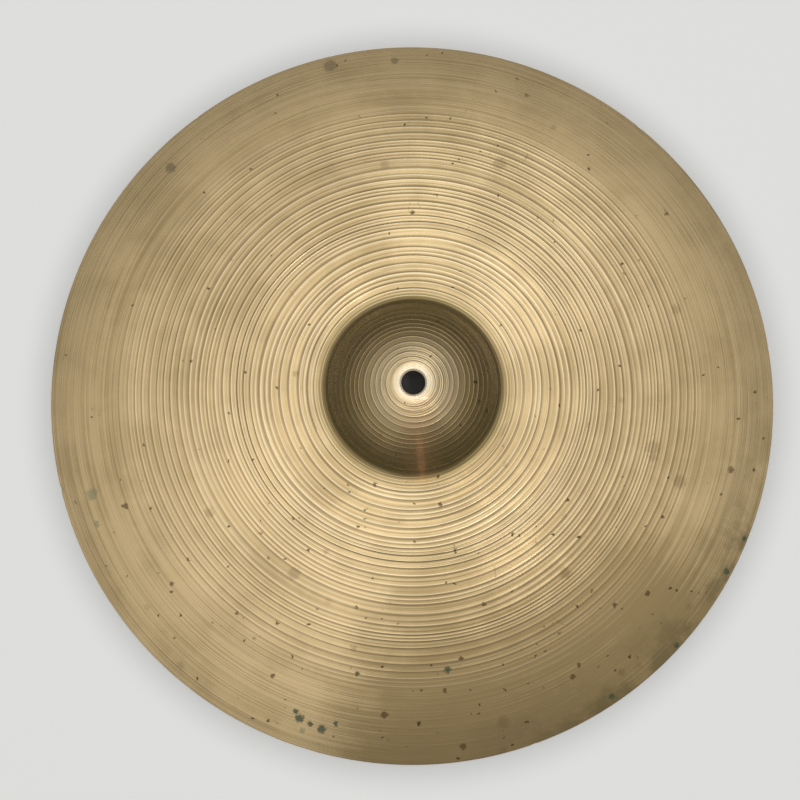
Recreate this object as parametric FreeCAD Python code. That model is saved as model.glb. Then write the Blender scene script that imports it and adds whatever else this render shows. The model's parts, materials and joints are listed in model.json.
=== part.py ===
import FreeCAD, Part
import math
import os

# Crash cymbal: one bronze plate, cast and rolled flat, pressed into a bell and a bow, then lathed on both sides.
# Millimetres. +Z is the axis of the mounting hole, and the bell points up. The origin is on that axis, in the
# plane that the rim rests on, so the rim's lowest line is at Z = 0.

# Overall shape of the top skin
RIM_RADIUS = 203.2            # 16 inch cymbal
TOTAL_HEIGHT = 43.5           # rim plane to the flat crown of the bell
BOW_HEIGHT = 23.5             # rim plane to the foot of the bell
BELL_RADIUS = 48.0            # where the bell would meet the bow without its fillet
BOW_CROWN = 5.2               # how far the bow bulges above a straight line from the bell's foot to the rim
BELL_CROWN = 3.2              # how far the bell's flank bulges above a straight line from crown to foot
BELL_FILLET = 9.0             # hollow radius between bell and bow, on the top skin

# Plate
CROWN_THICKNESS = 1.5         # around the mounting hole
RIM_THICKNESS = 0.8           # at the rim, which is a full round
TAPER = 1.6                   # how soon the plate thins on its way out: 1 is an even taper

# Mounting hole and the flat land that the stand's felts clamp
HOLE_RADIUS = 6.35            # half inch hole, for an 8 mm stand rod in a plastic sleeve
DISH_WIDTH = 0.85             # countersunk ring around the hole on top
DISH_DEPTH = 0.45
BURR_CHAMFER = 0.15           # small chamfer under the hole
LAND_WIDTH = 3.4              # flat ring outside the countersink

# Tonal grooves: the hollow cuts that the lathe leaves, with a ridge between each two
BELL_GROOVE_PITCH = 2.7
BELL_GROOVE_DEPTH = 0.06
BOW_GROOVE_PITCH = 4.8
BOW_GROOVE_DEPTH = 0.1
SMOOTH_BAND = 38.0            # rim band with no tonal grooves
PLAIN = 0.0                   # groove depth of a smooth stretch

LAND_RADIUS = HOLE_RADIUS + DISH_WIDTH + LAND_WIDTH
RIM_ROUND = RIM_THICKNESS / 2
SKIN_END = RIM_RADIUS - RIM_ROUND


def circle_over_chord(start, end, crown):
    """Centre and radius of the circle through two points whose arc bulges up by crown between them."""
    run, rise = end[0] - start[0], end[1] - start[1]
    chord = math.hypot(run, rise)
    radius = (chord * chord / 4 + crown * crown) / (2 * crown)
    drop = radius - crown
    middle = ((start[0] + end[0]) / 2, (start[1] + end[1]) / 2)
    return (middle[0] + rise / chord * drop, middle[1] - run / chord * drop), radius


def circle_touching(first, second, radius):
    """Centre of the circle of the given radius that rests in the corner above two convex circles."""
    (x1, z1), reach1 = first[0], first[1] + radius
    (x2, z2), reach2 = second[0], second[1] + radius
    apart = math.hypot(x2 - x1, z2 - z1)
    along = (reach1 ** 2 - reach2 ** 2 + apart ** 2) / (2 * apart)
    across = math.sqrt(reach1 ** 2 - along ** 2)
    ux, uz = (x2 - x1) / apart, (z2 - z1) / apart
    corners = [(x1 + ux * along - side * uz * across, z1 + uz * along + side * ux * across) for side in (-1, 1)]
    return max(corners, key=lambda corner: corner[1])


BELL = circle_over_chord((LAND_RADIUS, TOTAL_HEIGHT), (BELL_RADIUS, BOW_HEIGHT), BELL_CROWN)
BOW = circle_over_chord((BELL_RADIUS, BOW_HEIGHT), (SKIN_END, RIM_THICKNESS), BOW_CROWN)
FILLET_CENTRE = circle_touching(BELL, BOW, BELL_FILLET)


def touch_radius(circle):
    """Radius on the cymbal at which the fillet meets the bell's or the bow's circle."""
    (x, _), radius = circle
    return x + (FILLET_CENTRE[0] - x) * radius / (radius + BELL_FILLET)


BELL_FOOT = touch_radius(BELL)
BOW_START = touch_radius(BOW)
GROOVES_END = RIM_RADIUS - SMOOTH_BAND


def top_skin(radius):
    """Height and upward normal of the top skin at a distance from the axis."""
    if radius <= LAND_RADIUS:
        return TOTAL_HEIGHT, (0.0, 1.0)
    if BELL_FOOT < radius < BOW_START:
        (x, z), reach = FILLET_CENTRE, BELL_FILLET
        hollow = math.sqrt(reach ** 2 - (radius - x) ** 2)
        return z - hollow, ((x - radius) / reach, hollow / reach)
    (x, z), reach = BELL if radius <= BELL_FOOT else BOW
    rise = math.sqrt(reach ** 2 - (radius - x) ** 2)
    return z + rise, ((radius - x) / reach, rise / reach)


def plate(radius):
    """Thickness of the plate, square to its skin."""
    left = (SKIN_END - max(radius, LAND_RADIUS)) / (SKIN_END - LAND_RADIUS)
    return RIM_THICKNESS + (CROWN_THICKNESS - RIM_THICKNESS) * left ** TAPER


def point_below(radius, depth):
    """Point in the section at a depth under the top skin, measured square to it."""
    height, normal = top_skin(radius)
    return FreeCAD.Vector(radius - normal[0] * depth, 0, height - normal[1] * depth)


def ring_ends(start, end, pitch):
    """Radii that divide a stretch into whole grooves of about the given pitch."""
    count = max(1, round((end - start) / pitch))
    return [start + (end - start) * step / count for step in range(count + 1)]


def skin_rings():
    """Each ring of the skin from the land to the rim: inner radius, outer radius and groove depth."""
    stretches = [
        (ring_ends(LAND_RADIUS, BELL_FOOT, BELL_GROOVE_PITCH), BELL_GROOVE_DEPTH),
        ([BELL_FOOT, BOW_START], PLAIN),
        (ring_ends(BOW_START, GROOVES_END, BOW_GROOVE_PITCH), BOW_GROOVE_DEPTH),
        ([GROOVES_END, SKIN_END], PLAIN),
    ]
    return [(inner, outer, depth) for radii, depth in stretches for inner, outer in zip(radii, radii[1:])]


def top_edges():
    """Top skin of the section, from the land to the rim, each ring an arc hollowed by its groove."""
    edges = []
    for inner, outer, groove in skin_rings():
        middle = point_below((inner + outer) / 2, groove)
        edges.append(Part.Arc(point_below(inner, 0), middle, point_below(outer, 0)).toShape())
    return edges


def under_point(radius, groove):
    """Point on the under skin, raised by a groove's depth. It ends straight below the top skin's end."""
    if radius == SKIN_END:
        return FreeCAD.Vector(SKIN_END, 0, 0)
    return point_below(radius, plate(radius) - groove)


def under_edges():
    """Under skin of the section, from the rim back to the land."""
    edges = []
    for inner, outer, groove in reversed(skin_rings()):
        middle = under_point((inner + outer) / 2, groove)
        edges.append(Part.Arc(under_point(outer, 0), middle, under_point(inner, 0)).toShape())
    return edges


def section():
    """Closed half section of the plate in the XZ plane."""
    under_land = TOTAL_HEIGHT - CROWN_THICKNESS
    rim_round = Part.Arc(
        FreeCAD.Vector(SKIN_END, 0, RIM_THICKNESS),
        FreeCAD.Vector(RIM_RADIUS, 0, RIM_ROUND),
        FreeCAD.Vector(SKIN_END, 0, 0),
    ).toShape()
    hole = Part.makePolygon([
        under_point(LAND_RADIUS, 0),
        FreeCAD.Vector(HOLE_RADIUS + BURR_CHAMFER, 0, under_land),
        FreeCAD.Vector(HOLE_RADIUS, 0, under_land + BURR_CHAMFER),
        FreeCAD.Vector(HOLE_RADIUS, 0, TOTAL_HEIGHT - DISH_DEPTH),
        FreeCAD.Vector(HOLE_RADIUS + DISH_WIDTH, 0, TOTAL_HEIGHT),
        FreeCAD.Vector(LAND_RADIUS, 0, TOTAL_HEIGHT),
    ])
    return Part.Face(Part.Wire(top_edges() + [rim_round] + under_edges() + hole.Edges))


def cymbal_plate():
    """The whole cymbal: its section turned about the axis of the mounting hole."""
    turned = section().revolve(FreeCAD.Vector(0, 0, 0), FreeCAD.Vector(0, 0, 1), 360)
    return turned.Solids[0]


os.makedirs("parts", exist_ok=True)
plate_solid = cymbal_plate()
plate_solid.exportStep("parts/cymbal_plate.step")
box = plate_solid.optimalBoundingBox()
print("cymbal_plate: volume", round(plate_solid.Volume), "mm3, valid", plate_solid.isValid())
print("across", round(box.XLength, 2), "high", round(box.ZLength, 2), "lowest", round(box.ZMin, 4))
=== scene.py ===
import json
import math
import random

import bmesh
import bpy
import numpy as np
from mathutils import Matrix, Vector, noise


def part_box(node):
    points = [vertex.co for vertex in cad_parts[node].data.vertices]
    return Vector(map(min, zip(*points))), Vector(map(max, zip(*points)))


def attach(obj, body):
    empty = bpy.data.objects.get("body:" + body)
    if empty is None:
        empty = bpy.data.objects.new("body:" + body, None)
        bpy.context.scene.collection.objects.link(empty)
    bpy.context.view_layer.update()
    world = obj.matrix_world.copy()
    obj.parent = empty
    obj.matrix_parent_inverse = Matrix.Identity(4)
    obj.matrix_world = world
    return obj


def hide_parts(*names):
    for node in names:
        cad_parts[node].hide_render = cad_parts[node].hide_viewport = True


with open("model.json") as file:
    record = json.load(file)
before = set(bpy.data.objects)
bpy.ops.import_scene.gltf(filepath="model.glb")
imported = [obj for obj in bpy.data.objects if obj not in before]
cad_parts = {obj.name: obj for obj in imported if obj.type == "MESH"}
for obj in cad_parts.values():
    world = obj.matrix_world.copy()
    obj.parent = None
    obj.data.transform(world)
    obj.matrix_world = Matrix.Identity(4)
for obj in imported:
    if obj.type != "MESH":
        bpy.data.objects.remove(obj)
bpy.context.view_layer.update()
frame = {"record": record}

# A lathed bronze crash cymbal, lying on its rim. The CAD plate is one plain turned solid. This script
# rebuilds its skin with the spiral tonal grooves, the hammering and the worn edges, and gives it aged bronze.

MM = 0.001
TURN = 2 * math.pi

# ---------------------------------------------------------------- sizes, metres

_, PLATE_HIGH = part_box("cymbal_plate")
RIM_RADIUS = min(PLATE_HIGH.x, PLATE_HIGH.y)
TOTAL_HEIGHT = PLATE_HIGH.z
HOLE = next(mount for mount in frame["record"]["mounts"] if mount["name"] == "mounting_hole")
HOLE_RADIUS = HOLE["dims"]["r_mm"] * MM

BOW_HEIGHT = 23.5 * MM        # the same section as the CAD plate
BELL_RADIUS = 48.0 * MM
BOW_CROWN = 5.2 * MM
BELL_CROWN = 3.2 * MM
BELL_FILLET = 9.0 * MM
CROWN_THICKNESS = 1.5 * MM
RIM_THICKNESS = 0.8 * MM
TAPER = 1.6
DISH_WIDTH = 0.85 * MM
DISH_DEPTH = 0.45 * MM
BURR_CHAMFER = 0.15 * MM
LAND_WIDTH = 3.4 * MM
SMOOTH_BAND = 38.0 * MM

LAND_RADIUS = HOLE_RADIUS + DISH_WIDTH + LAND_WIDTH
RIM_ROUND = RIM_THICKNESS / 2
SKIN_END = RIM_RADIUS - RIM_ROUND
GROOVES_END = RIM_RADIUS - SMOOTH_BAND


def circle_over_chord(start, end, crown):
    """Centre and radius of the circle through two points whose arc bulges up by crown between them."""
    run, rise = end[0] - start[0], end[1] - start[1]
    chord = math.hypot(run, rise)
    radius = (chord * chord / 4 + crown * crown) / (2 * crown)
    drop = radius - crown
    middle = ((start[0] + end[0]) / 2, (start[1] + end[1]) / 2)
    return (middle[0] + rise / chord * drop, middle[1] - run / chord * drop), radius


def circle_touching(first, second, radius):
    """Centre of the circle of the given radius that rests in the corner above two convex circles."""
    (x1, z1), reach1 = first[0], first[1] + radius
    (x2, z2), reach2 = second[0], second[1] + radius
    apart = math.hypot(x2 - x1, z2 - z1)
    along = (reach1 ** 2 - reach2 ** 2 + apart ** 2) / (2 * apart)
    across = math.sqrt(reach1 ** 2 - along ** 2)
    ux, uz = (x2 - x1) / apart, (z2 - z1) / apart
    corners = [
        (x1 + ux * along - side * uz * across, z1 + uz * along + side * ux * across)
        for side in (-1, 1)
    ]
    return max(corners, key=lambda corner: corner[1])


BELL = circle_over_chord((LAND_RADIUS, TOTAL_HEIGHT), (BELL_RADIUS, BOW_HEIGHT), BELL_CROWN)
BOW = circle_over_chord((BELL_RADIUS, BOW_HEIGHT), (SKIN_END, RIM_THICKNESS), BOW_CROWN)
FILLET_CENTRE = circle_touching(BELL, BOW, BELL_FILLET)


def touch_radius(circle):
    """Radius on the cymbal at which the fillet meets the bell's or the bow's circle."""
    (x, _), radius = circle
    return x + (FILLET_CENTRE[0] - x) * radius / (radius + BELL_FILLET)


BELL_FOOT = touch_radius(BELL)
BOW_START = touch_radius(BOW)


def top_skin(radius):
    """Height and upward normal of the smooth top skin at a distance from the axis."""
    if radius <= LAND_RADIUS:
        return TOTAL_HEIGHT, (0.0, 1.0)
    if BELL_FOOT < radius < BOW_START:
        (x, z), reach = FILLET_CENTRE, BELL_FILLET
        hollow = math.sqrt(reach ** 2 - (radius - x) ** 2)
        return z - hollow, ((x - radius) / reach, hollow / reach)
    (x, z), reach = BELL if radius <= BELL_FOOT else BOW
    rise = math.sqrt(reach ** 2 - (radius - x) ** 2)
    return z + rise, ((radius - x) / reach, rise / reach)


def plate(radius):
    """Thickness of the plate, square to its skin."""
    left = max(0.0, (SKIN_END - max(radius, LAND_RADIUS)) / (SKIN_END - LAND_RADIUS))
    return RIM_THICKNESS + (CROWN_THICKNESS - RIM_THICKNESS) * left ** TAPER


# ---------------------------------------------------------------- the lathe's spirals

class Spiral:
    """A tonal groove cut in one go: turns of it between two radii. way is +1 where it widens anticlockwise.

    The feed drifts, as a hand-held tool's does, in waves from one end to the other: how many half waves, and
    how many turns. The groove also strays in and out as it goes round: how many times a turn, how far, and
    over what distance outwards that pattern comes round again."""

    def __init__(self, inner, outer, turns, way, drifts, strays=()):
        self.inner, self.outer, self.turns, self.way = inner, outer, turns, way
        self.drifts, self.strays = drifts, strays
        share = np.linspace(0, 1, 4001)
        self.table = (self.turn_at(share), inner + (outer - inner) * share)

    def turn_at(self, share):
        """How many turns the tool has made, at a share of the way out."""
        drift = sum(size * np.sin(math.pi * waves * share) for waves, size in self.drifts)
        return self.turns * share + drift

    def radius_at(self, turn, angle):
        """Radius of the groove after a number of turns, at an angle round the cymbal."""
        radius = float(np.interp(turn, *self.table))
        hold = math.sin(math.pi * (radius - self.inner) / (self.outer - self.inner))
        stray = sum(
            far * math.sin(times * angle + TURN * radius / again)
            for times, far, again in self.strays
        )
        return radius + hold * stray


BOW_STRAYS = ((2, 0.45 * MM, 75 * MM), (5, 0.18 * MM, -33 * MM), (1, 0.3 * MM, 48 * MM))
BOW_SPIRAL = Spiral(BOW_START, GROOVES_END, 25, -1, ((5, 0.28), (11, 0.13)), BOW_STRAYS)
BELL_SPIRAL = Spiral(LAND_RADIUS, BELL_FOOT, 13, 1, ((3, 0.2), (7, 0.1)), ((2, 0.15 * MM, 30 * MM),))
UNDER_BOW_SPIRAL = Spiral(BOW_START, GROOVES_END, 26, 1, ((4, 0.25), (9, 0.12)))
UNDER_BELL_SPIRAL = Spiral(LAND_RADIUS, BELL_FOOT, 11, -1, ((3, 0.15),))


def wandering(seed, low, high, length, step):
    """A function that wanders smoothly between two values as its argument grows, the same each run."""
    rng = random.Random(seed)
    knots = [rng.uniform(low, high) for _ in range(int(length / step) + 3)]
    places = [index * step for index in range(len(knots))]
    return lambda place: float(np.interp(place, places, knots))


def smooth(share):
    """Eases a share between 0 and 1 in and out."""
    return share * share * (3.0 - 2.0 * share)


class Grooves:
    """A spiral groove's section as rows of heights, from 0 on the floor of the cut to 1 on a ridge.

    It starts and stops over fades turns, and by its outer end only a share of its depth is left."""

    def __init__(self, spiral, rows, depth, left, seed, fades, step=0.41):
        self.spiral, self.depth, self.left, self.fades = spiral, depth, left, fades
        self.places = [place for place, _, _ in rows]
        self.heights = [
            wandering(seed + index, low, high, spiral.turns + 1, step)
            for index, (_, low, high) in enumerate(rows)
        ]

    def turn(self, row, way_round):
        """How many turns the tool has made on a numbered row, a share of the way round."""
        turn, part = divmod(row, len(self.places))
        return turn + self.places[part] + self.spiral.way * way_round

    def cut(self, row, turn):
        """Depth of the cut under the smooth skin, on a numbered row, after a number of turns."""
        height = self.heights[row % len(self.heights)](turn)
        share = min(1.0, turn / self.fades[0], (self.spiral.turns - turn) / self.fades[1])
        fallen = 1.0 - (1.0 - self.left) * turn / self.spiral.turns
        return self.depth * fallen * (1.0 - height) * smooth(share)


# Each row: its place in the groove, as a share of a turn, and the lowest and highest it wanders. A pass of
# the tool leaves a hollow between one ridge and the next, often with a lower ridge half way.
BOW_ROWS = (
    (0.0, 0.85, 1.0), (0.11, 0.4, 0.6), (0.24, 0.0, 0.2), (0.36, 0.0, 0.3),
    (0.5, 0.0, 0.7), (0.63, 0.05, 0.4), (0.76, 0.05, 0.3), (0.89, 0.45, 0.7),
)
BELL_ROWS = ((0.0, 0.7, 1.0), (0.18, 0.25, 0.45), (0.38, 0.0, 0.2), (0.6, 0.05, 0.45), (0.82, 0.35, 0.55))
UNDER_ROWS = ((0.0, 0.6, 1.0), (0.45, 0.0, 0.5))
BOW_GROOVES = Grooves(BOW_SPIRAL, BOW_ROWS, 0.36 * MM, 0.3, 100, (1.0, 3.0))
BELL_GROOVES = Grooves(BELL_SPIRAL, BELL_ROWS, 0.15 * MM, 0.15, 200, (0.6, 2.0))
UNDER_BOW_GROOVES = Grooves(UNDER_BOW_SPIRAL, UNDER_ROWS, 0.2 * MM, 0.3, 300, (1.0, 3.0))
UNDER_BELL_GROOVES = Grooves(UNDER_BELL_SPIRAL, UNDER_ROWS, 0.08 * MM, 0.5, 400, (0.6, 2.0))

# ---------------------------------------------------------------- the plate's mesh

SEGMENTS = 216                # round the cymbal
RIM_SEGMENTS = 4 * SEGMENTS   # round its rim, where the nicks are
LOBES = 27                    # scallops that the reamer's chatter left around the hole
LOBE_DEPTH = 0.28 * MM
HAMMER_DEPTH = 0.05 * MM
HAMMER_SIZE = 19 * MM
FLAT_EDGE = 14 * MM           # the hammering dies out this far from the rim
FILLET_STEP = 0.8 * MM        # spacing of the rings in the hollow between bell and bow
BAND_STEP = 1.9 * MM          # and in the smooth band at the rim
BAND_CUT = 0.02 * MM

# Rings just inside the rim: how far inside, and their share of a nick's depth.
RIM_INSETS = ((1.7 * MM, 0.0), (0.9 * MM, 0.3))

# Nicks in the rim: degrees anticlockwise from +X, half width and depth in millimetres.
NICKS = ((49.5, 1.6, 0.35), (-164.4, 2.2, 0.4), (7.0, 1.3, 0.25), (-71.0, 1.5, 0.3), (128.0, 1.2, 0.22))


def hammering(x, y, radius):
    """Height that the hammer marks add to the skin."""
    outside = (RIM_RADIUS - 2 * MM - radius) / FLAT_EDGE
    inside = (radius - LAND_RADIUS) / (BELL_RADIUS - LAND_RADIUS)
    fade = max(0.0, min(1.0, outside, inside))
    broad = noise.noise(Vector((x, y, 0.0)) / HAMMER_SIZE)
    fine = noise.noise(Vector((x, y, 0.37)) / HAMMER_SIZE * 2.3)
    return HAMMER_DEPTH * fade * (broad + 0.4 * fine)


class Shell:
    """A mesh under construction, as vertices and faces."""

    def __init__(self):
        self.points, self.faces = [], []

    def point(self, radius, angle, height):
        x, y = radius * math.cos(angle), radius * math.sin(angle)
        self.points.append((x, y, height + hammering(x, y, radius)))
        return len(self.points) - 1

    def skin_point(self, radius, angle, below):
        """A vertex at a depth under the smooth top skin, measured square to it."""
        height, normal = top_skin(radius)
        return self.point(radius - normal[0] * below, angle, height - normal[1] * below)

    def ring(self, radius, height, wave=0.0):
        """A closed ring. wave scallops it outwards, once for each lobe."""
        ring = []
        for index in range(SEGMENTS):
            angle = TURN * index / SEGMENTS
            ring.append(self.point(radius + wave * abs(math.sin(angle * LOBES / 2)), angle, height))
        return ring

    def skin_ring(self, radius, below):
        return [self.skin_point(radius, TURN * index / SEGMENTS, below) for index in range(SEGMENTS)]

    def face(self, corners):
        kept = [corner for index, corner in enumerate(corners) if corner != corners[index - 1]]
        if len(set(kept)) > 2:
            self.faces.append(kept)

    def bridge(self, inner, outer):
        """Quads between two closed rings of equal count, or fans where the outer one is finer."""
        step = len(outer) // len(inner)
        for index in range(len(inner)):
            ahead = (index + 1) % len(inner)
            far = [outer[(index * step + extra) % len(outer)] for extra in range(step + 1)]
            self.face([inner[ahead], inner[index]] + far)

    def spiral_strip(self, grooves, inner, outer, depth_at):
        """Rows that follow a spiral groove from one closed ring to another, so that its ridges are edges."""
        spiral, rows = grooves.spiral, len(grooves.places)
        made = {}

        def corner(row, index):
            turn = round(grooves.turn(row, index / SEGMENTS), 6)
            place = row * SEGMENTS + spiral.way * rows * index
            index %= SEGMENTS
            if turn <= 0:
                return inner[index]
            if turn >= spiral.turns:
                return outer[index]
            if (place, index) not in made:
                radius = spiral.radius_at(turn, TURN * index / SEGMENTS)
                below = depth_at(radius, grooves.cut(row, turn))
                made[place, index] = self.skin_point(radius, TURN * index / SEGMENTS, below)
            return made[place, index]

        for row in range(-rows, spiral.turns * rows + rows):
            for index in range(SEGMENTS):
                near = [corner(row, index), corner(row + 1, index)]
                self.face(near + [corner(row + 1, index + 1), corner(row, index + 1)])

    def steps(self, radii, depth_at, rng, spread=0.0):
        """Closed skin rings at some radii, each cut by a faint random amount."""
        return [self.skin_ring(radius, depth_at(radius, rng.uniform(0, spread))) for radius in radii]


def top_depth(_, cut):
    return cut


def under_depth(radius, cut):
    return plate(radius) - cut


def between(start, end, spacing):
    """Evenly spaced values strictly between two ends."""
    count = max(2, round(abs(end - start) / spacing))
    return [start + (end - start) * step / count for step in range(1, count)]


def nick(angle):
    """How far the rim is knocked in at an angle."""
    depth = 0.0
    for degrees, width, deep in NICKS:
        away = abs((angle - math.radians(degrees) + math.pi) % TURN - math.pi) * RIM_RADIUS / (width * MM)
        depth += deep * MM * max(0.0, 1.0 - away) ** 0.7
    return depth


def top_point(radius, below):
    """Radius and height of a point under the top skin."""
    height, normal = top_skin(radius)
    return radius - normal[0] * below, height - normal[1] * below


def rim_rings(shell):
    """The finely divided rings round the rim, from the top skin over the full round to the under skin."""
    section = [(top_point(RIM_RADIUS - inset, 0.0), share) for inset, share in RIM_INSETS]
    for degrees in (90, 60, 30, 0, -30, -60, -90):
        turn = math.radians(degrees)
        section.append(((SKIN_END + RIM_ROUND * math.cos(turn), RIM_ROUND + RIM_ROUND * math.sin(turn)), 1.0))
    for inset, share in reversed(RIM_INSETS):
        radius = RIM_RADIUS - inset
        section.append((top_point(radius, plate(radius)), share))
    angles = [TURN * index / RIM_SEGMENTS for index in range(RIM_SEGMENTS)]
    rings = []
    for (radius, height), share in section:
        rings.append([shell.point(radius - nick(angle) * share, angle, height) for angle in angles])
    return rings


def skin(shell, depth_at, bell, bow, seed):
    """One whole skin, from the land's edge to the band's last ring. Returns its first and last rings."""
    rng = random.Random(seed)
    places = (LAND_RADIUS, BELL_FOOT, BOW_START, GROOVES_END)
    land, foot, start, end = [shell.skin_ring(radius, depth_at(radius, 0.0)) for radius in places]
    shell.spiral_strip(bell, land, foot, depth_at)
    hollow = shell.steps(between(BELL_FOOT, BOW_START, FILLET_STEP), depth_at, rng)
    shell.spiral_strip(bow, start, end, depth_at)
    band = shell.steps(between(GROOVES_END, RIM_RADIUS - BAND_STEP, BAND_STEP), depth_at, rng, BAND_CUT)
    for chain in ([foot] + hollow + [start], [end] + band):
        for inner, outer in zip(chain, chain[1:]):
            shell.bridge(inner, outer)
    return land, band[-1]


def cymbal_mesh():
    """The whole plate as one closed mesh."""
    shell = Shell()
    top_land, top_end = skin(shell, top_depth, BELL_GROOVES, BOW_GROOVES, 11)
    under_land, under_end = skin(shell, under_depth, UNDER_BELL_GROOVES, UNDER_BOW_GROOVES, 12)
    rims = rim_rings(shell)
    shell.bridge(top_end, rims[0])
    shell.bridge(under_end, rims[-1])
    under = TOTAL_HEIGHT - CROWN_THICKNESS
    hole = [
        under_land,
        shell.ring(HOLE_RADIUS + BURR_CHAMFER, under),
        shell.ring(HOLE_RADIUS, under + BURR_CHAMFER),
        shell.ring(HOLE_RADIUS, TOTAL_HEIGHT - DISH_DEPTH),
        shell.ring(HOLE_RADIUS + DISH_WIDTH * 0.35, TOTAL_HEIGHT - DISH_DEPTH * 0.7, LOBE_DEPTH),
        shell.ring(HOLE_RADIUS + DISH_WIDTH - LOBE_DEPTH, TOTAL_HEIGHT - 0.02 * MM, LOBE_DEPTH),
        shell.ring(HOLE_RADIUS + DISH_WIDTH + LAND_WIDTH * 0.15, TOTAL_HEIGHT),
        shell.ring(HOLE_RADIUS + DISH_WIDTH + LAND_WIDTH * 0.6, TOTAL_HEIGHT - 0.02 * MM),
        top_land,
    ]
    for chain in (rims, hole):
        for inner, outer in zip(chain, chain[1:]):
            shell.bridge(inner, outer)
    mesh = bpy.data.meshes.new("bronze_plate")
    mesh.from_pydata(shell.points, [], shell.faces)
    build = bmesh.new()
    build.from_mesh(mesh)
    bmesh.ops.recalc_face_normals(build, faces=build.faces)
    build.to_mesh(mesh)
    build.free()
    mesh.polygons.foreach_set("use_smooth", [True] * len(mesh.polygons))
    mesh.set_sharp_from_angle(angle=math.radians(35))
    return mesh


# ---------------------------------------------------------------- shader helpers

class Nodes:
    """Short calls for building a node tree. A value is a number, a colour or another node's socket."""

    def __init__(self, tree):
        self.tree = tree

    def add(self, kind, inputs=None, **settings):
        node = self.tree.nodes.new(kind)
        for key, value in settings.items():
            setattr(node, key, value)
        for key, value in (inputs or {}).items():
            if isinstance(value, bpy.types.NodeSocket):
                self.tree.links.new(value, node.inputs[key])
            else:
                node.inputs[key].default_value = value
        return node

    def math(self, operation, *values):
        return self.add("ShaderNodeMath", dict(enumerate(values)), operation=operation).outputs[0]

    def total(self, *values):
        result = values[0]
        for value in values[1:]:
            result = self.math("ADD", result, value)
        return result

    def product(self, *values):
        result = values[0]
        for value in values[1:]:
            result = self.math("MULTIPLY", result, value)
        return result

    def vector(self, x, y, z):
        return self.add("ShaderNodeCombineXYZ", {0: x, 1: y, 2: z}).outputs[0]

    def ramp(self, value, low, high, out_low=0.0, out_high=1.0):
        """Smooth step of a value from out_low at low to out_high at high."""
        inputs = {0: value, 1: low, 2: high, 3: out_low, 4: out_high}
        return self.add("ShaderNodeMapRange", inputs, interpolation_type="SMOOTHSTEP").outputs[0]

    def mix(self, share, first, second):
        inputs = {0: share, 6: first, 7: second}
        return self.add("ShaderNodeMix", inputs, data_type="RGBA", clamp_factor=True).outputs[2]

    def split(self, vector):
        return self.add("ShaderNodeSeparateXYZ", {0: vector}).outputs

    def length(self, vector):
        return self.add("ShaderNodeVectorMath", {0: vector}, operation="LENGTH").outputs["Value"]

    def apart(self, first, second):
        return self.add("ShaderNodeVectorMath", {0: first, 1: second}, operation="DISTANCE").outputs["Value"]

    def noise(self, vector, scale, detail=2.0, rough=0.5):
        inputs = {"Vector": vector, "Scale": scale, "Detail": detail, "Roughness": rough}
        return self.add("ShaderNodeTexNoise", inputs).outputs[0]

    def noise_4d(self, vector, w, detail, rough):
        inputs = {"Vector": vector, "W": w, "Scale": 1.0, "Detail": detail, "Roughness": rough}
        return self.add("ShaderNodeTexNoise", inputs, noise_dimensions="4D").outputs[0]


def new_material(name):
    material = bpy.data.materials.new(name)
    material.use_nodes = True
    material.node_tree.nodes.clear()
    return material, Nodes(material.node_tree)


# ---------------------------------------------------------------- aged bronze

# The first colour is the polished crown's, and also the painted highlight along the bow's ridges.
POLISH_AND_HIGHLIGHT = (0.95, 0.84, 0.62, 1.0)
BRONZE_BRIGHT = (0.90, 0.678, 0.366, 1.0)
# The film colour also stands for painted shade in the groove hollows and on one side of the rim.
BRONZE_FILM_AND_SHADE = (0.47, 0.340, 0.163, 1.0)
CROWN_DULL = (0.46, 0.365, 0.215, 1.0)
REAMED = (0.90, 0.82, 0.66, 1.0)
# The colour that the bell is darkened towards.
BELL_DARK = (0.30, 0.228, 0.080, 1.0)
TARNISH = (0.20, 0.165, 0.075, 1.0)
BROWN_SPOT = (0.13, 0.070, 0.028, 1.0)
BLACK_SPOT = (0.030, 0.018, 0.010, 1.0)
VERDIGRIS = (0.085, 0.125, 0.075, 1.0)
PALE_GREEN = (0.33, 0.36, 0.22, 1.0)
GREY_SMUDGE = (0.14, 0.12, 0.09, 1.0)
COPPER = (0.95, 0.52, 0.24, 1.0)

PAINTED_SHADE_SIDE = -66              # degrees anticlockwise from +X: where painted shade darkens the film colour towards the rim
PAINTED_SHADE_SPREAD = (0.72, 0.95)   # and how near that side it starts and is full, as cosines
CROWN_RING = 1.1 * MM         # spacing of the fine rings round the crown
CELLS_PER_GROOVE = 1.9        # radius, in noise cells, of the circle that one groove's width is wound on
DRIFT_PER_METRE = 60.0        # how fast the fine lines change from groove to groove

# Lines along a groove: their place, as a share of its width, and how narrow they are. The ridge lines are
# painted highlights, lighter and whiter, and the shade lines are painted shade.
BOW_RIDGE, BOW_LOW_RIDGE, BELL_RIDGE = (-0.01, 14.0), (0.49, 16.0), (-0.02, 14.0)
BOW_SHADE, BOW_LOW_SHADE, BELL_SHADE = (0.19, 3.0), (0.66, 4.0), (0.22, 3.0)

# Film on the metal, from bare bronze at 0 to the full film at 1: what there is everywhere, and what each
# pattern adds to it. The shade lines in the groove hollows and the darker side of the rim add painted shade,
# and the ridge lines take film away as painted highlights.
BARE_FILM = -0.35
FILM_AND_SHADING_SHARES = {
    "lines": 0.35, "streaks": 0.22, "band_streaks": 0.04, "hairlines": 0.16, "band_hairlines": 0.34,
    "mottle": 0.40, "clouds": 0.28, "crown_rings": 0.45, "shade": 0.50, "ridge": -0.80, "painted_shade": 0.95,
    "band": -0.25,
}
BARE_ROUGHNESS = 0.20
RAGGED_EDGE = 3.4 * MM        # how far noise shifts the edges of spots, at most about half of it each way
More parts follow.
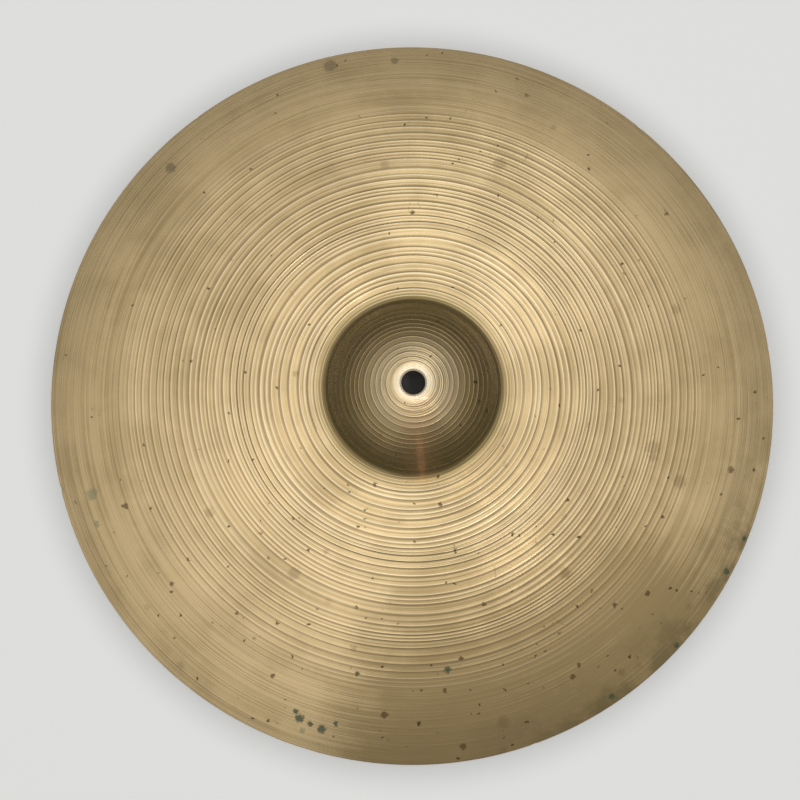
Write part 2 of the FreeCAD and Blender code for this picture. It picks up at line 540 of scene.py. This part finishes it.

# Marks given one by one: degrees anticlockwise from +X, then distance from the axis and size in millimetres.
VERDIGRIS_MARKS = (
    (-109, 188, 2.8), (-110, 185, 1.6), (-107, 189, 1.8), (-105, 190, 2.6), (-103, 185, 1.6), (-83, 152, 2.0),
    (-57, 199, 1.8), (-44, 201, 1.4), (-30, 200, 2.0), (-24, 201, 1.6),
)
PALE_MARKS = ((-162, 186, 3.6), (-157, 189, 1.8), (-108, 194, 1.6))
BROWN_MARKS = (
    (-158, 170, 1.8), (-141, 168, 1.4), (-140, 171, 0.9), (-95, 176, 2.3), (-82, 195, 2.0), (-61, 178, 1.7),
    (-59, 174, 1.3), (-47, 160, 1.3), (-41, 169, 1.5), (90, 98, 1.1), (35, 176, 1.5), (-77, 65, 1.3),
    (-80, 147, 1.2), (-84, 163, 1.4), (-128, 154, 1.1), (-116, 172, 1.2), (-72, 122, 1.0), (173, 122, 0.9),
)
BLACK_MARKS = (
    (149, 66, 0.9), (-101, 156, 1.3), (-89, 180, 1.3), (-83, 201, 1.1), (-42, 120, 1.0), (-56, 95, 0.9),
    (-71, 190, 1.1), (-51, 187, 1.0), (-13, 195, 1.1), (-5, 182, 0.9), (87, 156, 0.9), (80, 129, 0.8),
    (74, 140, 0.8), (31, 136, 1.0), (19, 97, 0.8), (6, 114, 0.9), (2, 33, 1.0), (-41, 33, 0.7), (57, 17, 0.8),
)
SMUDGES = ((104, 197, 4.5), (137, 189, 3.5), (93, 194, 2.5))
STREAK = (-84, 39)            # the coppery streak down the bell: its direction and middle
STREAK_SIZE = (24, 5)         # its length and width
TARNISHED = (-42, 205)        # middle of the tarnished side of the rim
SCRATCHES = (                 # direction and distance of the middle, then its own direction, length and width
    ((91, 101), 84, 9, 0.55), ((88, 103), 97, 7, 0.5), ((64, 146), 60, 10, 0.45), ((-30, 128), -75, 8, 0.45),
    ((-12, 97), 70, 7, 0.45), ((-66, 108), -80, 9, 0.5), ((196, 121), 10, 8, 0.45), ((142, 84), 120, 7, 0.4),
    ((20, 176), 95, 12, 0.45), ((-58, 148), -30, 11, 0.5),
)


def around(degrees, distance):
    """Place on the plate, in metres, from a direction in degrees and a distance from the axis in mm."""
    angle = math.radians(degrees)
    return distance * MM * math.cos(angle), distance * MM * math.sin(angle)


class Spot:
    """Where a point of the surface is on the cymbal."""

    def __init__(self, nodes):
        coordinates = nodes.add("ShaderNodeTexCoord")
        self.place = coordinates.outputs["Object"]
        self.x, self.y, _ = nodes.split(self.place)
        squares = nodes.total(nodes.product(self.x, self.x), nodes.product(self.y, self.y))
        self.radius = nodes.math("SQRT", squares)
        self.turns_round = nodes.product(nodes.math("ARCTAN2", self.y, self.x), 1 / TURN)
        off_axis = nodes.math("MAXIMUM", self.radius, MM)
        self.round_x = nodes.math("DIVIDE", self.x, off_axis)
        self.round_y = nodes.math("DIVIDE", self.y, off_axis)
        self.on_top = nodes.ramp(nodes.split(coordinates.outputs["Normal"])[2], -0.1, 0.1)
        self.on_bow = nodes.ramp(self.radius, BELL_FOOT, BOW_START)
        self.on_bell = nodes.ramp(self.radius, BOW_START + 4 * MM, BELL_FOOT + MM)


def spiral_phase(nodes, at, spiral):
    """Phase of a spiral groove, whole on its main ridge."""
    span = spiral.outer - spiral.inner
    hold = nodes.math("SINE", nodes.product(nodes.math("SUBTRACT", at.radius, spiral.inner), math.pi / span))
    strays = []
    for times, far, again in spiral.strays:
        wave = nodes.total(
            nodes.product(at.turns_round, TURN * times), nodes.product(at.radius, TURN / again),
        )
        strays.append(nodes.product(nodes.math("SINE", wave), hold, -far))
    share = nodes.math("DIVIDE", nodes.total(at.radius, *strays, -spiral.inner), span)
    drifts = [
        nodes.product(nodes.math("SINE", nodes.product(share, math.pi * waves)), size)
        for waves, size in spiral.drifts
    ]
    turns = nodes.product(share, float(spiral.turns))
    return nodes.total(turns, *drifts, nodes.product(at.turns_round, -float(spiral.way)))


def wound(nodes, at, phase):
    """Fine lines that follow a spiral: noise on coordinates that close up after each groove and each turn."""
    turned = nodes.product(phase, TURN)
    across = nodes.product(nodes.math("COSINE", turned), CELLS_PER_GROOVE)
    along = nodes.product(nodes.math("SINE", turned), CELLS_PER_GROOVE)
    outward = nodes.total(nodes.product(at.radius, DRIFT_PER_METRE), nodes.product(at.round_x, 0.5))
    return nodes.noise_4d(nodes.vector(across, along, outward), nodes.product(at.round_y, 0.5), 2.0, 0.6)


def banded(nodes, at, cells_round, cells_per_metre):
    """Coordinates for a pattern that runs round the cymbal: few cells that way, and many outwards."""
    around_x, around_y = nodes.product(at.round_x, cells_round), nodes.product(at.round_y, cells_round)
    return nodes.vector(around_x, around_y, nodes.product(at.radius, cells_per_metre))


def crest(nodes, phase, place, power):
    """A narrow line along a spiral groove, at a share of its width."""
    swing = nodes.math("COSINE", nodes.product(nodes.math("SUBTRACT", phase, place), TURN))
    return nodes.math("POWER", nodes.math("MAXIMUM", swing, 0.0), power)


def marks(nodes, place, spots):
    """1 inside any of some ragged spots, 0 outside."""
    found = 0.0
    for degrees, distance, size in spots:
        away = nodes.apart(place, (*around(degrees, distance), 0.0))
        found = nodes.math("MAXIMUM", found, nodes.ramp(away, size * 1.15 * MM, size * 0.60 * MM))
    return found


def stroke(nodes, place, middle, turn, length, width):
    """Distance from the middle of a long narrow mark, in shares of its half length and half width."""
    turned = nodes.add("ShaderNodeMapping", {
        "Vector": place, "Location": (*around(*middle), 0.0), "Rotation": (0.0, 0.0, math.radians(turn)),
        "Scale": (length / 2 * MM, width / 2 * MM, 1.0),
    }, vector_type="TEXTURE")
    local = nodes.split(turned.outputs[0])
    return nodes.length(nodes.vector(local[0], local[1], 0.0))


def specks(nodes, flat, cells, size, share):
    """Scattered dots: 1 on a dot, for a share of the cells of so many to the metre."""
    cell = nodes.add("ShaderNodeTexVoronoi", {"Vector": flat, "Scale": cells, "Randomness": 1.0})
    chance = nodes.split(cell.outputs["Color"])
    reach = nodes.product(chance[1], size * cells)
    dot = nodes.ramp(nodes.math("DIVIDE", cell.outputs["Distance"], nodes.math("ADD", reach, 0.01)), 1.0, 0.5)
    return nodes.product(dot, nodes.math("LESS_THAN", chance[0], share))


class Finish:
    """The patterns of the metal's surface, and the film that they add up to, painted shade and highlights
    among them.
    """

    def __init__(self, nodes, at):
        bow_phase = spiral_phase(nodes, at, BOW_SPIRAL)
        bell_phase = spiral_phase(nodes, at, BELL_SPIRAL)
        lathed = {0: at.on_bow, 2: wound(nodes, at, bell_phase), 3: wound(nodes, at, bow_phase)}
        self.lines = nodes.add("ShaderNodeMix", lathed).outputs[0]
        wander = nodes.ramp(nodes.noise(banded(nodes, at, 1.0, 230.0), 0.8, 1.0), 0.35, 0.65)
        grooved = nodes.product(
            at.on_bow, nodes.ramp(at.radius, GROOVES_END + 6 * MM, GROOVES_END - 8 * MM),
            nodes.ramp(at.radius, BOW_START, GROOVES_END, 1.0, 0.35), at.on_top,
        )
        belled = nodes.product(
            at.on_bell, nodes.ramp(at.radius, LAND_RADIUS, LAND_RADIUS + 3 * MM),
            nodes.ramp(at.radius, BELL_RADIUS * 0.60, BELL_RADIUS * 0.95, 1.0, 0.25), at.on_top,
        )
        uneven = nodes.total(0.6, nodes.product(wander, 0.5))
        # Ridge lines: painted highlights in the colour and raised lines in the bump. Shade lines: painted
        # shade in the colour and shallow hollows in the bump.
        self.ridge = nodes.total(
            nodes.product(crest(nodes, bow_phase, *BOW_RIDGE), grooved, uneven),
            nodes.product(crest(nodes, bow_phase, *BOW_LOW_RIDGE), grooved, wander, wander),
            nodes.product(crest(nodes, bell_phase, *BELL_RIDGE), belled),
        )
        self.shade = nodes.total(
            nodes.product(crest(nodes, bow_phase, *BOW_SHADE), grooved),
            nodes.product(crest(nodes, bow_phase, *BOW_LOW_SHADE), grooved, wander),
            nodes.product(crest(nodes, bell_phase, *BELL_SHADE), belled, 0.7),
        )
        self.streaks = nodes.noise(banded(nodes, at, 1.3, 420.0), 1.0, 2.0, 0.6)
        self.hairlines = nodes.noise(banded(nodes, at, 1.2, 1900.0), 1.0, 1.0, 0.5)
        self.crown_rings = nodes.product(
            nodes.math("SINE", nodes.product(at.radius, TURN / CROWN_RING)), at.on_top,
            nodes.ramp(at.radius, LAND_RADIUS + 9 * MM, LAND_RADIUS + 6 * MM),
            nodes.ramp(at.round_x, -0.6, 0.6, 0.3, 1.0),
        )
        self.film_and_shading = self.film_with_shading(nodes, at, nodes.ramp(grooved, 0.5, 0.0))

    def film_with_shading(self, nodes, at, in_band):
        """The film on the metal, with what each pattern adds to it, painted shade and painted highlights
        among them.
        """
        shade_side_x, shade_side_y = around(PAINTED_SHADE_SIDE, 1 / MM)
        shade_side_way = nodes.total(nodes.product(at.round_x, shade_side_x), nodes.product(at.round_y, shade_side_y))
        streaks, hairlines = nodes.ramp(self.streaks, 0.3, 0.7), nodes.ramp(self.hairlines, 0.3, 0.7)
        patterns = {
            "lines": nodes.ramp(self.lines, 0.3, 0.7, 1.0, 0.0),
            "streaks": streaks,
            "band_streaks": nodes.product(streaks, in_band),
            "hairlines": hairlines,
            "band_hairlines": nodes.product(hairlines, in_band),
            "mottle": nodes.ramp(nodes.noise(at.place, 30.0, 4.0, 0.6), 0.3, 0.7),
            "clouds": nodes.ramp(nodes.noise(at.place, 10.5, 2.0, 0.5), 0.3, 0.7),
            "crown_rings": self.crown_rings,
            "shade": self.shade,
            "ridge": self.ridge,
            # Painted shade: the film colour is darker on one side, towards the rim.
            "painted_shade": nodes.product(
                nodes.ramp(shade_side_way, *PAINTED_SHADE_SPREAD),
                nodes.ramp(at.radius, RIM_RADIUS * 0.4, RIM_RADIUS * 0.9),
            ),
            "band": in_band,
        }
        added = [nodes.product(patterns[name], share) for name, share in FILM_AND_SHADING_SHARES.items()]
        return nodes.total(*added, BARE_FILM)


def filmed_and_shaded_metal(nodes, at, finish):
    """Colour of the bow and the darker bell, with their ridges painted lighter as highlights."""
    # The bell is coloured darker and more olive than the bow.
    bell_darkening = nodes.product(
        nodes.ramp(at.radius, LAND_RADIUS + 2 * MM, BELL_RADIUS * 0.60), at.on_bell, at.on_top,
    )
    dull = nodes.product(
        nodes.ramp(at.radius, LAND_RADIUS - MM, LAND_RADIUS + 3 * MM),
        nodes.ramp(at.radius, BELL_RADIUS * 0.7, BELL_RADIUS * 0.4),
        at.on_top, nodes.ramp(finish.film_and_shading, -0.2, 0.8, 0.3, 0.95),
    )
    colour = nodes.mix(finish.film_and_shading, BRONZE_BRIGHT, BRONZE_FILM_AND_SHADE)
    bell_colour = nodes.mix(nodes.total(finish.film_and_shading, 0.15), BRONZE_FILM_AND_SHADE, BELL_DARK)
    colour = nodes.mix(bell_darkening, colour, bell_colour)
    colour = nodes.mix(dull, colour, CROWN_DULL)
    # Painted highlight: the ridges are lightened, whiter on the bow and towards bare bronze on the bell.
    ridge_highlight = nodes.mix(bell_darkening, POLISH_AND_HIGHLIGHT, BRONZE_BRIGHT)
    return nodes.mix(nodes.product(finish.ridge, 0.75), colour, ridge_highlight)


def copper_streak(nodes, at, finish):
    """How much of the coppery streak down the bell there is."""
    away = stroke(nodes, at.place, STREAK, STREAK[0], *STREAK_SIZE)
    near = nodes.total(
        nodes.product(nodes.ramp(away, 1.3, 0.3), 0.6),
        nodes.product(nodes.ramp(away, 6.0, 0.0), 0.28, at.on_bell),
    )
    return nodes.product(near, nodes.ramp(finish.streaks, 0.2, 0.6, 0.5, 1.0), at.on_top)


def tarnish(nodes, at):
    """How much the film has thickened to tarnish along one side of the rim."""
    from_side = nodes.apart(at.place, (*around(*TARNISHED), 0.0))
    return nodes.product(
        nodes.ramp(from_side, 0.15, 0.05), nodes.ramp(at.radius, RIM_RADIUS - 34 * MM, RIM_RADIUS),
        nodes.ramp(nodes.noise(at.place, 45.0, 4.0, 0.65), 0.40, 0.62), at.on_top,
    )


def ragged(nodes, at):
    """Places on the top, shifted to and fro, which give spots ragged edges."""
    warp = nodes.add("ShaderNodeTexNoise", {"Vector": at.place, "Scale": 700.0, "Detail": 2.0})
    centred = {0: warp.outputs["Color"], 1: (0.5, 0.5, 0.5)}
    shift = nodes.add("ShaderNodeVectorMath", centred, operation="SUBTRACT").outputs[0]
    shifted = {0: shift, 1: (RAGGED_EDGE,) * 3, 2: at.place}
    moved = nodes.split(nodes.add("ShaderNodeVectorMath", shifted, operation="MULTIPLY_ADD").outputs[0])
    return nodes.vector(moved[0], moved[1], 0.0)


def stained_metal(nodes, at, colour):
    """The stained colour, how far stains, pits and scratches cover the metal, and how far verdigris does."""
    flat = ragged(nodes, at)
    low_side = nodes.ramp(at.y, 0.10, -0.16, 0.10, 0.34)
    fine_specks = specks(nodes, flat, 230.0, 1.1 * MM, low_side)
    coarse_specks = specks(nodes, flat, 46.0, 2.6 * MM, nodes.product(low_side, 0.6))
    patches = specks(nodes, flat, 62.0, 5.5 * MM, nodes.product(low_side, 0.8))
    scratched = 0.0
    for scratch in SCRATCHES:
        scratched = nodes.math("MAXIMUM", scratched, nodes.ramp(stroke(nodes, flat, *scratch), 1.0, 0.5))
    green = marks(nodes, flat, VERDIGRIS_MARKS)
    stained = 0.0
    for cover, share, tone in (
        (marks(nodes, flat, PALE_MARKS), 0.55, PALE_GREEN),
        (marks(nodes, flat, SMUDGES), 0.55, GREY_SMUDGE),
        (patches, 0.26, BROWN_SPOT),
        (nodes.math("MAXIMUM", marks(nodes, flat, BROWN_MARKS), coarse_specks), 0.70, BROWN_SPOT),
        (nodes.math("MAXIMUM", marks(nodes, flat, BLACK_MARKS), fine_specks), 0.75, BLACK_SPOT),
        (scratched, 0.45, BROWN_SPOT),
        (green, 0.85, VERDIGRIS),
    ):
        covered = nodes.product(cover, at.on_top, share)
        colour = nodes.mix(covered, colour, tone)
        stained = nodes.math("MAXIMUM", stained, covered)
    return colour, stained, nodes.product(green, at.on_top)


def bronze():
    """Lathed bronze with the films, stains, pits and verdigris of a long-used cymbal."""
    material, nodes = new_material("aged_bronze")
    at = Spot(nodes)
    finish = Finish(nodes, at)
    polished = nodes.product(
        nodes.ramp(at.radius, LAND_RADIUS + 3 * MM, HOLE_RADIUS), at.on_top,
        nodes.ramp(finish.streaks, 0.3, 0.6, 0.6, 1.0),
    )
    lobes = nodes.math("SINE", nodes.product(at.turns_round, TURN * LOBES))
    reamed_edge = nodes.total(at.radius, nodes.product(lobes, 0.18 * MM))
    reamed = nodes.ramp(reamed_edge, HOLE_RADIUS + 1.15 * MM, HOLE_RADIUS + 0.75 * MM)
    colour = nodes.mix(polished, filmed_and_shaded_metal(nodes, at, finish), POLISH_AND_HIGHLIGHT)
    colour = nodes.mix(nodes.product(reamed, at.on_top, 0.85), colour, REAMED)
    colour = nodes.mix(copper_streak(nodes, at, finish), colour, COPPER)
    colour = nodes.mix(nodes.product(tarnish(nodes, at), 0.55), colour, TARNISH)
    colour, stained, green = stained_metal(nodes, at, colour)

    rough = nodes.total(
        BARE_ROUGHNESS,
        nodes.product(polished, -0.11),
        nodes.product(nodes.math("MAXIMUM", finish.film_and_shading, 0.0), 0.10),
        nodes.product(finish.hairlines, 0.05),
        nodes.product(stained, 0.3),
        nodes.product(reamed, 0.5),
    )
    height = nodes.total(
        nodes.product(finish.lines, 0.06),
        nodes.product(finish.hairlines, 0.03),
        nodes.product(finish.ridge, 0.05),
        nodes.product(finish.shade, -0.02),
        nodes.product(finish.crown_rings, 0.03),
    )
    bump = nodes.add("ShaderNodeBump", {"Strength": 1.0, "Distance": MM, "Height": height})
    tangent = nodes.add("ShaderNodeTangent", direction_type="RADIAL", axis="Z")
    shader = nodes.add("ShaderNodeBsdfPrincipled", {
        "Base Color": colour,
        "Metallic": nodes.math("SUBTRACT", 1.0, nodes.product(green, 0.6)),
        "Specular IOR Level": 0.3,
        "Roughness": rough,
        "Anisotropic": 0.45,
        "Anisotropic Rotation": 0.25,
        "Normal": bump.outputs[0],
        "Tangent": tangent.outputs[0],
    })
    nodes.add("ShaderNodeOutputMaterial", {"Surface": shader.outputs[0]})
    return material


# ---------------------------------------------------------------- the cymbal

def cymbal():
    mesh = cymbal_mesh()
    mesh.materials.append(bronze())
    piece = bpy.data.objects.new("bronze_plate", mesh)
    bpy.context.scene.collection.objects.link(piece)
    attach(piece, "root")
    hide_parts("cymbal_plate")
    return piece


# ---------------------------------------------------------------- stage, light and camera

FLOOR_SIZE = 60.0
FLOOR_DROP = 0.1 * MM
FLOOR_GLOW = 0.30             # glow that lifts the floor to a pale tone; it fades out under the cymbal and round its rim, a painted soft shadow
WALL_GLOW = 0.06              # brightness of the dome's walls
SKY_GLOW = 0.88               # its brightness well away from them
OVERHEAD_GLOW = 0.45          # and how much more there is straight overhead
SKY_SPREAD = (84, 12)         # degrees from overhead: where the walls end and the sky is whole
OVERHEAD_SPREAD = (13, 3)     # and where the overhead glow starts and is whole
DIM_SIDE = -76                # degrees anticlockwise from +X: where the dome is dimmer
DIM_SPREAD = (0.80, 0.95)     # and how near that side the dimming starts and is full, as cosines
DIM_OUTWARDS = (0.5, 0.8)     # radians from overhead: where the dimming starts and is full
DIM_INWARDS = (1.05, 0.85)    # and, coming in from the walls, where it starts and is full
DIM_SHARE = 0.70              # how much light it takes away
CAMERA_PLACE = Vector((-0.0074, -0.0633, 0.5465))
CAMERA_AIM = Vector((-0.0069, -0.0045, 0.0))
CAMERA_UP = Vector((0.0, 0.994, 0.107))
CAMERA_LENS = 43.9            # mm, on the standard 36 mm sensor


def floor():
    mesh = bpy.data.meshes.new("floor")
    half = FLOOR_SIZE / 2
    corners = [(-half, -half), (half, -half), (half, half), (-half, half)]
    mesh.from_pydata([(x, y, -FLOOR_DROP) for x, y in corners], [], [(0, 1, 2, 3)])
    material, nodes = new_material("pale_floor")
    place = nodes.add("ShaderNodeTexCoord").outputs["Object"]
    away = nodes.length(place)
    shader = nodes.add("ShaderNodeBsdfPrincipled", {
        "Base Color": (0.80, 0.80, 0.79, 1.0),
        "Roughness": 0.9,
        "Emission Color": (1.0, 1.0, 0.99, 1.0),
        # Painted shadow: the glow fades to none under the cymbal and just round its rim.
        "Emission Strength": nodes.ramp(away, RIM_RADIUS * 0.92, RIM_RADIUS * 1.10, 0.0, FLOOR_GLOW),
    })
    nodes.add("ShaderNodeOutputMaterial", {"Surface": shader.outputs[0]})
    mesh.materials.append(material)
    piece = bpy.data.objects.new("floor", mesh)
    bpy.context.scene.collection.objects.link(piece)


def soft_dome():
    """A soft studio dome: brightest overhead, fading to dim walls, and dimmer in a patch on one side."""
    world = bpy.data.worlds.new("soft_dome")
    bpy.context.scene.world = world
    world.use_nodes = True
    world.node_tree.nodes.clear()
    nodes = Nodes(world.node_tree)
    towards = nodes.split(nodes.add("ShaderNodeTexCoord").outputs["Generated"])
    from_overhead = nodes.math("ARCCOSINE", towards[2])
    sky = nodes.ramp(from_overhead, *map(math.radians, SKY_SPREAD), WALL_GLOW, SKY_GLOW)
    overhead = nodes.ramp(from_overhead, *map(math.radians, OVERHEAD_SPREAD), 0.0, OVERHEAD_GLOW)
    dim_x, dim_y = around(DIM_SIDE, 1 / MM)
    dim_way = nodes.total(nodes.product(towards[0], dim_x), nodes.product(towards[1], dim_y))
    off_overhead = nodes.math("MAXIMUM", nodes.math("SINE", from_overhead), 0.05)
    dim = nodes.product(
        nodes.ramp(nodes.math("DIVIDE", dim_way, off_overhead), *DIM_SPREAD),
        nodes.ramp(from_overhead, *DIM_OUTWARDS), nodes.ramp(from_overhead, *DIM_INWARDS),
    )
    strength = nodes.product(nodes.total(sky, overhead), nodes.total(1.0, nodes.product(dim, -DIM_SHARE)))
    background = nodes.add("ShaderNodeBackground", {"Color": (1.0, 0.995, 0.98, 1.0), "Strength": strength})
    nodes.add("ShaderNodeOutputWorld", {"Surface": background.outputs[0]})


def area_light(name, towards, distance, size, power, colour=(1.0, 1.0, 1.0)):
    """A soft square lamp in a direction from the cymbal, facing it."""
    light = bpy.data.lights.new(name, "AREA")
    light.size, light.energy, light.color = size, power, colour
    lamp = bpy.data.objects.new(name, light)
    direction = Vector(towards).normalized()
    lamp.location = direction * distance
    lamp.rotation_mode = "QUATERNION"
    lamp.rotation_quaternion = direction.to_track_quat("Z", "Y")
    bpy.context.scene.collection.objects.link(lamp)


def camera():
    data = bpy.data.cameras.new("camera")
    data.lens = CAMERA_LENS
    eye = bpy.data.objects.new("camera", data)
    back = (CAMERA_PLACE - CAMERA_AIM).normalized()
    right = CAMERA_UP.cross(back).normalized()
    up = back.cross(right)
    eye.rotation_mode = "QUATERNION"
    eye.rotation_quaternion = Matrix((right, up, back)).transposed().to_quaternion()
    eye.location = CAMERA_PLACE
    bpy.context.scene.collection.objects.link(eye)
    bpy.context.scene.camera = eye


cymbal()
floor()
soft_dome()
area_light("window_light", (0.16, 0.40, 0.902), 2.2, 0.8, 1.4, (0.86, 0.93, 1.0))
area_light("lamp_light", (0.18, -0.13, 0.975), 2.2, 0.12, 0.65)
camera()
bpy.context.scene.view_settings.view_transform = "Standard"
